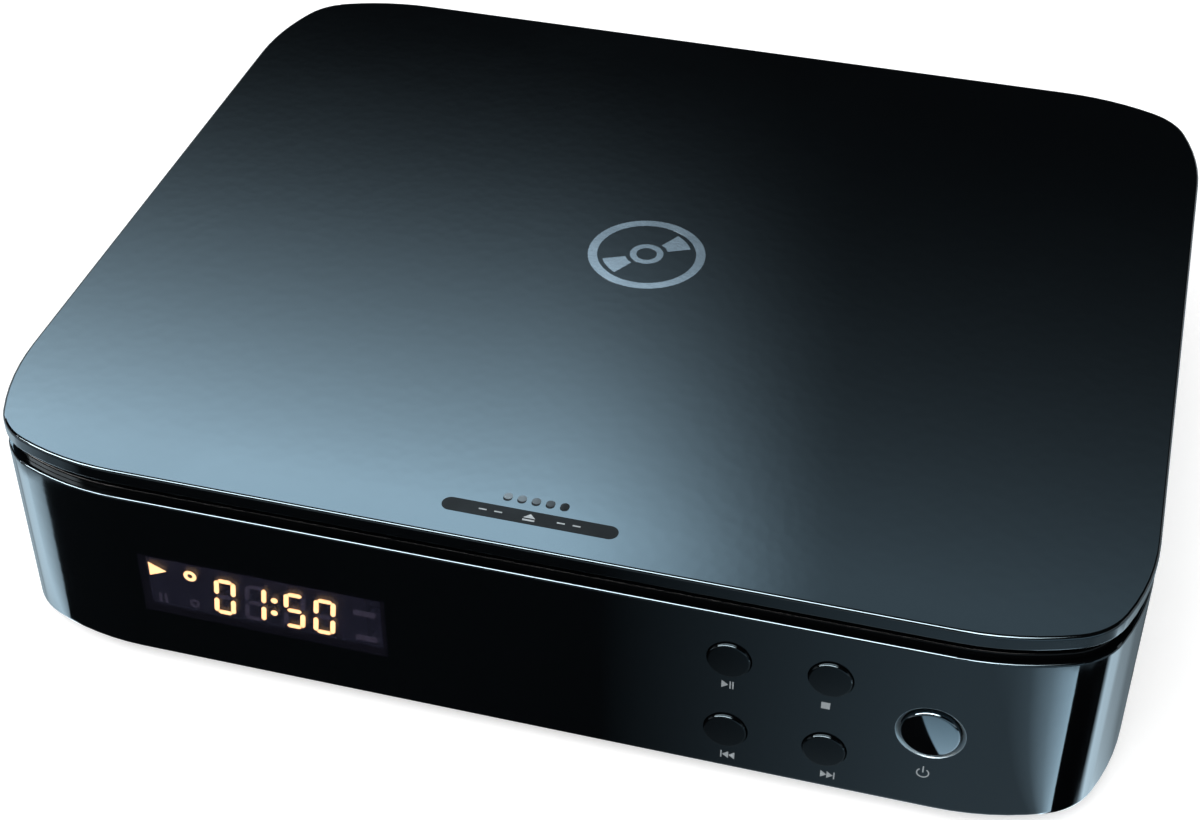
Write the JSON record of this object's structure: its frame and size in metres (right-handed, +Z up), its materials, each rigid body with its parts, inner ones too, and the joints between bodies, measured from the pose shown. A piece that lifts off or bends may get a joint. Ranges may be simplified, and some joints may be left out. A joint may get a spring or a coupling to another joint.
{
  "type": "disc player",
  "caption": "Compact top-loading disc player with a hinged gloss lid, display window, domed front buttons, spindle and geared pickup drive inside.",
  "frame": {"origin": "centre of the outline on the floor under the feet", "axes": "+X to the player's right seen from the front, +Y to the rear, +Z up"},
  "size_m": [0.225, 0.1886, 0.0503],
  "materials": {
    "gloss_black": "piano black gloss",
    "inner_black": "fine textured satin black",
    "base_grey": "dull dark grey",
    "smoked_window": "smoked gloss",
    "button_black": "gloss dome",
    "ring_dark": "gloss bevelled ring",
    "rubber_black": "soft black rubber",
    "steel": "zinc plated steel",
    "spring_steel": "bright spring wire",
    "nickel": "nickel plated shell",
    "aluminium_fin": "extruded fins",
    "board_green": "solder mask",
    "chip_black": "moulded package",
    "capacitor_sleeve": "dark blue sleeve",
    "gear_white": "natural acetal",
    "sled_black": "moulded black",
    "lens_glass": "coated lens",
    "jack_yellow": "moulded yellow",
    "jack_white": "moulded white",
    "jack_red": "moulded red"
  },
  "bodies": {
    "root": {"main_housing": "gloss_black", "disc_deck": "inner_black", "base_plate": "base_grey", "rubber_feet": "rubber_black", "base_screws": "steel", "deck_screws": "steel", "lid_bumpers": "rubber_black", "hinge_pins": "steel", "hinge_springs": "spring_steel", "latch_case": "inner_black", "latch_spring": "spring_steel", "display_window": "smoked_window", "display_module": "chip_black", "display_board": "board_green", "ir_receiver": "chip_black", "key_board": "board_green", "tact_switches": "chip_black", "panel_screws": "steel", "power_ring": "ring_dark", "drive_chassis": "steel", "guide_rods": "steel", "chassis_grommets": "rubber_black", "chassis_screws": "steel", "spindle_motor": "steel", "idler_pin": "steel", "feed_motor": "steel", "main_board": "board_green", "side_board": "board_green", "board_screws": "steel", "decoder_chip": "chip_black", "heatsink": "aluminium_fin", "board_capacitors": "capacitor_sleeve", "av_block": "chip_black", "av_barrels": "nickel", "av_insert_yellow": "jack_yellow", "av_insert_white": "jack_white", "av_insert_red": "jack_red", "hdmi_socket": "nickel", "dc_inlet": "chip_black", "card_socket": "nickel", "usb_socket": "nickel"},
    "lid": {"lid_cover": "gloss_black", "lid_liner": "inner_black", "liner_screws": "steel", "hinge_arms": "inner_black", "lid_striker": "inner_black"},
    "power_button": {"power_button": "button_black"},
    "play_button": {"play_button": "button_black"},
    "stop_button": {"stop_button": "button_black"},
    "previous_button": {"previous_button": "button_black"},
    "next_button": {"next_button": "button_black"},
    "latch_slider": {"latch_slider": "gear_white"},
    "turntable": {"turntable": "sled_black", "turntable_pad": "rubber_black", "hub_balls": "steel"},
    "pickup_sled": {"pickup_sled": "sled_black", "sled_rack": "gear_white", "objective_lens": "lens_glass"},
    "idler_gear": {"idler_gear": "gear_white"},
    "feed_pinion": {"feed_pinion": "nickel"}
  },
  "joints": [
    {"name": "lid_hinge", "type": "hinge", "parent": "root", "child": "lid", "pos_m": [0, 0.087, 0.038], "axis": [-1, 0, 0], "range_deg": [0, 75]},
    {"name": "power_press", "type": "slide", "parent": "root", "child": "power_button", "axis": [0, 1, 0], "range_m": [0, 0.0006], "stiffness_N_per_m": 400},
    {"name": "play_press", "type": "slide", "parent": "root", "child": "play_button", "axis": [0, 1, 0], "range_m": [0, 0.0006], "stiffness_N_per_m": 400},
    {"name": "stop_press", "type": "slide", "parent": "root", "child": "stop_button", "axis": [0, 1, 0], "range_m": [0, 0.0006], "stiffness_N_per_m": 400},
    {"name": "previous_press", "type": "slide", "parent": "root", "child": "previous_button", "axis": [0, 1, 0], "range_m": [0, 0.0006], "stiffness_N_per_m": 400},
    {"name": "next_press", "type": "slide", "parent": "root", "child": "next_button", "axis": [0, 1, 0], "range_m": [0, 0.0006], "stiffness_N_per_m": 400},
    {"name": "latch_press", "type": "slide", "parent": "root", "child": "latch_slider", "axis": [0, 0, -1], "range_m": [0, 0.0012], "stiffness_N_per_m": 800, "deforming": ["latch_spring"]},
    {"name": "spindle_spin", "type": "hinge", "parent": "root", "child": "turntable", "pos_m": [0, -0.004, 0.0413], "axis": [0, 0, 1], "continuous": true},
    {"name": "sled_feed", "type": "slide", "parent": "root", "child": "pickup_sled", "axis": [1, 0, 0], "range_m": [0, 0.034]},
    {"name": "idler_turn", "type": "hinge", "parent": "root", "child": "idler_gear", "pos_m": [0.041, -0.033, 0.0285], "axis": [0, 0, 1], "range_deg": [-650, 0]},
    {"name": "feed_pinion_turn", "type": "hinge", "parent": "root", "child": "feed_pinion", "pos_m": [0.0295, -0.033, 0.0285], "axis": [0, 0, 1], "range_deg": [0, 2340]}
  ],
  "couplings": [
    {"joint": "idler_turn", "follows": "sled_feed", "rad_per_m": -333.33},
    {"joint": "feed_pinion_turn", "follows": "sled_feed", "rad_per_m": 1200}
  ]
}
